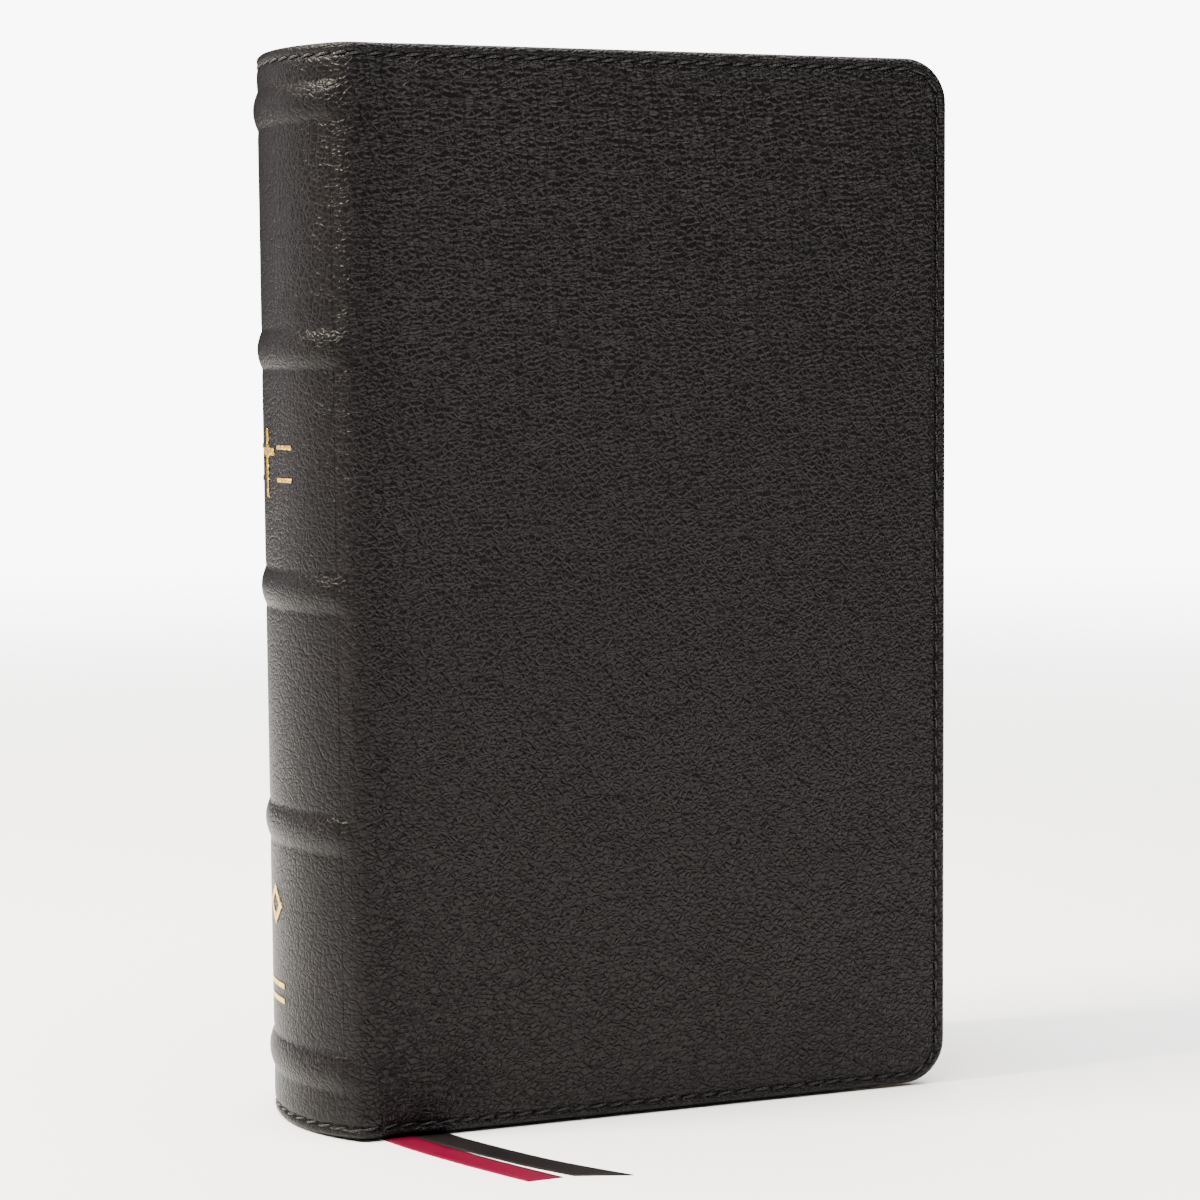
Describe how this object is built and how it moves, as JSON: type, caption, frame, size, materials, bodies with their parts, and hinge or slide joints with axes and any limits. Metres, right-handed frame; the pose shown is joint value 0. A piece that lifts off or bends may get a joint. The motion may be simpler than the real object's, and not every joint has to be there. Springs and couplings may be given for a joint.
{
  "type": "bible",
  "caption": "Thick leather-bound bible standing on its tail, with a rounded spine, raised bands, stitched opening covers and ribbon markers.",
  "frame": {"origin": "under the middle of the closed book, on the surface that it stands on", "axes": "+Z from tail to head, +X from spine to fore-edge, -Y out of the front cover"},
  "size_m": [0.146, 0.0952, 0.225],
  "materials": {
    "cover_leather": "black grained leather",
    "cover_board": "dense grey binder's board",
    "cover_lining": "plain black lining paper",
    "leather_thread": "waxed black sewing thread",
    "band_leather": "skived leather strip, hidden",
    "spine_card": "spine stiffener card, hidden",
    "kraft_paper": "brown kraft paper, hidden",
    "mull_gauze": "glued cotton gauze, hidden",
    "sewing_cotton": "white linen thread, hidden",
    "headband_silk": "two-colour silk over a cord",
    "gold_foil": "gold foil stamped into the leather",
    "bible_paper": "thin opaque bible paper with gilt edges",
    "flyleaf_paper": "heavier cream endpaper",
    "crimson_ribbon": "crimson satin ribbon",
    "black_ribbon": "black satin ribbon"
  },
  "bodies": {
    "root": {"front_sewn_folds": "bible_paper", "back_sewn_folds": "bible_paper", "spine_leather": "cover_leather", "raised_band_1": "band_leather", "raised_band_2": "band_leather", "raised_band_3": "band_leather", "raised_band_4": "band_leather", "raised_band_5": "band_leather", "spine_stiffener": "spine_card", "spine_kraft_lining": "kraft_paper", "sewing_thread": "sewing_cotton", "spine_mull": "mull_gauze", "head_band": "headband_silk", "tail_band": "headband_silk", "spine_tail_stitching": "leather_thread", "spine_head_stitching": "leather_thread", "spine_foil_cross": "gold_foil", "spine_foil_lozenge": "gold_foil", "spine_foil_rules": "gold_foil", "ribbon_crimson": "crimson_ribbon", "ribbon_black": "black_ribbon", "signature_05": "bible_paper", "signature_06": "bible_paper", "signature_07": "bible_paper", "signature_08": "bible_paper", "signature_09": "bible_paper", "signature_10": "bible_paper", "signature_11": "bible_paper", "signature_12": "bible_paper", "signature_13": "bible_paper", "signature_14": "bible_paper", "signature_15": "bible_paper", "signature_16": "bible_paper", "signature_17": "bible_paper", "signature_18": "bible_paper"},
    "front_cover": {"front_cover_leather": "cover_leather", "front_cover_board": "cover_board", "front_cover_lining": "cover_lining", "front_cover_stitching": "leather_thread"},
    "back_cover": {"back_cover_leather": "cover_leather", "back_cover_board": "cover_board", "back_cover_lining": "cover_lining", "back_cover_stitching": "leather_thread"},
    "front_flyleaf": {"front_flyleaf": "flyleaf_paper"},
    "leaves_01": {"signature_01": "bible_paper"},
    "leaves_02": {"signature_02": "bible_paper"},
    "leaves_03": {"signature_03": "bible_paper"},
    "leaves_04": {"signature_04": "bible_paper"},
    "back_flyleaf": {"back_flyleaf": "flyleaf_paper"},
    "leaves_19": {"signature_19": "bible_paper"},
    "leaves_20": {"signature_20": "bible_paper"}
  },
  "joints": [
    {"name": "front_cover_hinge", "type": "hinge", "parent": "root", "child": "front_cover", "pos_m": [-0.061, -0.0265, 0.1125], "axis": [0, 0, -1], "range_deg": [0, 178]},
    {"name": "back_cover_hinge", "type": "hinge", "parent": "root", "child": "back_cover", "pos_m": [-0.061, 0.0265, 0.1125], "axis": [0, 0, 1], "range_deg": [0, 178]},
    {"name": "front_flyleaf_turn", "type": "hinge", "parent": "root", "child": "front_flyleaf", "pos_m": [-0.061, -0.0265, 0.1125], "axis": [0, 0, -1], "range_deg": [0, 172.66]},
    {"name": "leaves_01_turn", "type": "hinge", "parent": "root", "child": "leaves_01", "pos_m": [-0.061, -0.0265, 0.1125], "axis": [0, 0, -1], "range_deg": [0, 156.64]},
    {"name": "leaves_02_turn", "type": "hinge", "parent": "root", "child": "leaves_02", "pos_m": [-0.061, -0.0265, 0.1125], "axis": [0, 0, -1], "range_deg": [0, 124.6]},
    {"name": "leaves_03_turn", "type": "hinge", "parent": "root", "child": "leaves_03", "pos_m": [-0.061, -0.0265, 0.1125], "axis": [0, 0, -1], "range_deg": [0, 89]},
    {"name": "leaves_04_turn", "type": "hinge", "parent": "root", "child": "leaves_04", "pos_m": [-0.061, -0.0265, 0.1125], "axis": [0, 0, -1], "range_deg": [0, 53.4]},
    {"name": "back_flyleaf_turn", "type": "hinge", "parent": "root", "child": "back_flyleaf", "pos_m": [-0.061, 0.0265, 0.1125], "axis": [0, 0, 1], "range_deg": [0, 172.66]},
    {"name": "leaves_20_turn", "type": "hinge", "parent": "root", "child": "leaves_20", "pos_m": [-0.061, 0.0265, 0.1125], "axis": [0, 0, 1], "range_deg": [0, 151.3]},
    {"name": "leaves_19_turn", "type": "hinge", "parent": "root", "child": "leaves_19", "pos_m": [-0.061, 0.0265, 0.1125], "axis": [0, 0, 1], "range_deg": [0, 106.8]}
  ],
  "couplings": [
    {"joint": "front_flyleaf_turn", "follows": "front_cover_hinge", "ratio": 0.97},
    {"joint": "leaves_01_turn", "follows": "front_cover_hinge", "ratio": 0.88},
    {"joint": "leaves_02_turn", "follows": "front_cover_hinge", "ratio": 0.7},
    {"joint": "leaves_03_turn", "follows": "front_cover_hinge", "ratio": 0.5},
    {"joint": "leaves_04_turn", "follows": "front_cover_hinge", "ratio": 0.3},
    {"joint": "back_flyleaf_turn", "follows": "back_cover_hinge", "ratio": 0.97},
    {"joint": "leaves_20_turn", "follows": "back_cover_hinge", "ratio": 0.85},
    {"joint": "leaves_19_turn", "follows": "back_cover_hinge", "ratio": 0.6}
  ]
}
